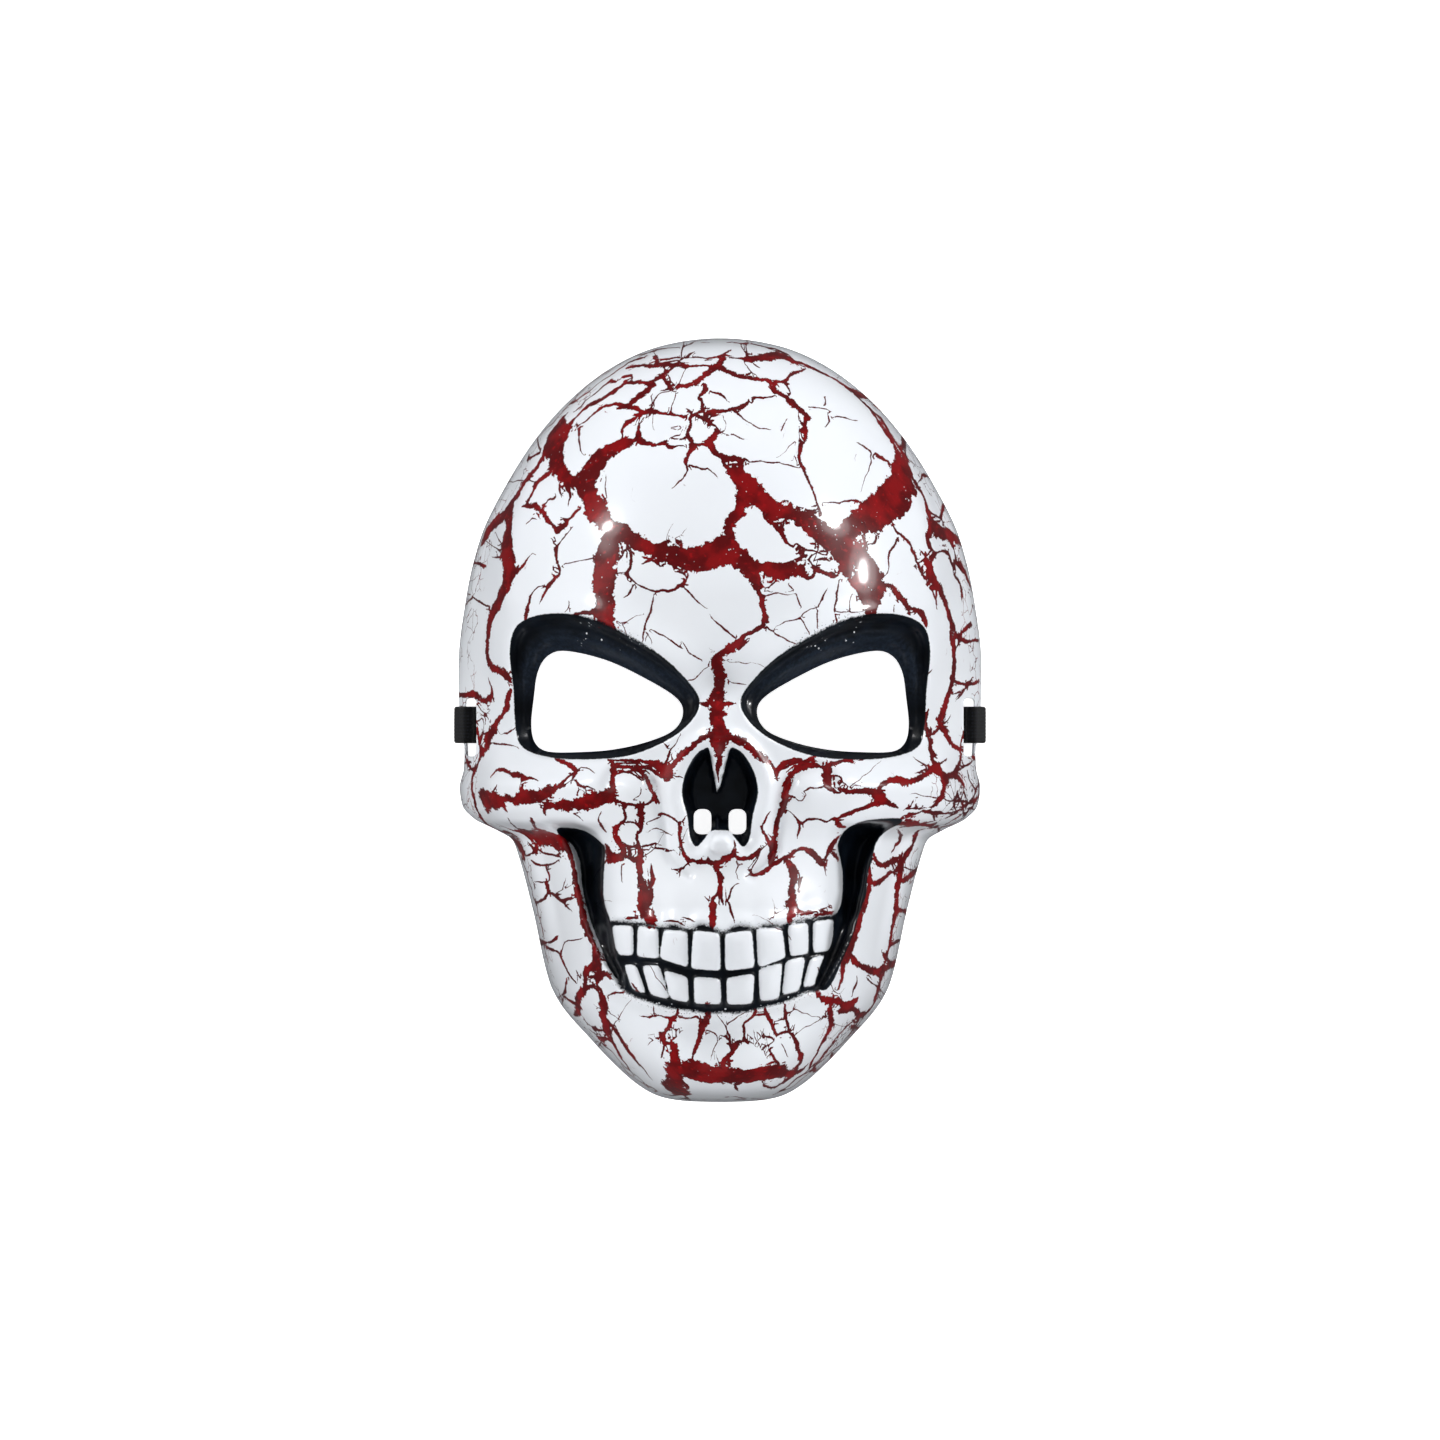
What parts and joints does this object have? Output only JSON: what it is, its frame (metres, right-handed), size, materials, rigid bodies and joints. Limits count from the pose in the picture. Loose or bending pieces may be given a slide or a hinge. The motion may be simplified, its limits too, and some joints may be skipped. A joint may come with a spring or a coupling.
{
  "type": "skull mask with elastic strap",
  "caption": "Rigid full-face skull mask with open eye and nose holes, two rows of teeth, a hollow back and an elastic head strap through a slot at each temple.",
  "frame": {"origin": "centre of the mask's outline on the plane of its rim, which it lies on", "axes": "+X to the right seen from the front, +Y towards the crown, +Z out of the face"},
  "size_m": [0.1744, 0.25, 0.0857],
  "materials": {
    "white_plastic": "glossy white moulded plastic, printed dark red crackle, black paint in the hollows",
    "black_elastic": "black knitted elastic with fine ribs"
  },
  "bodies": {
    "root": {"mask_shell": "white_plastic", "elastic_strap": "black_elastic"}
  },
  "joints": []
}
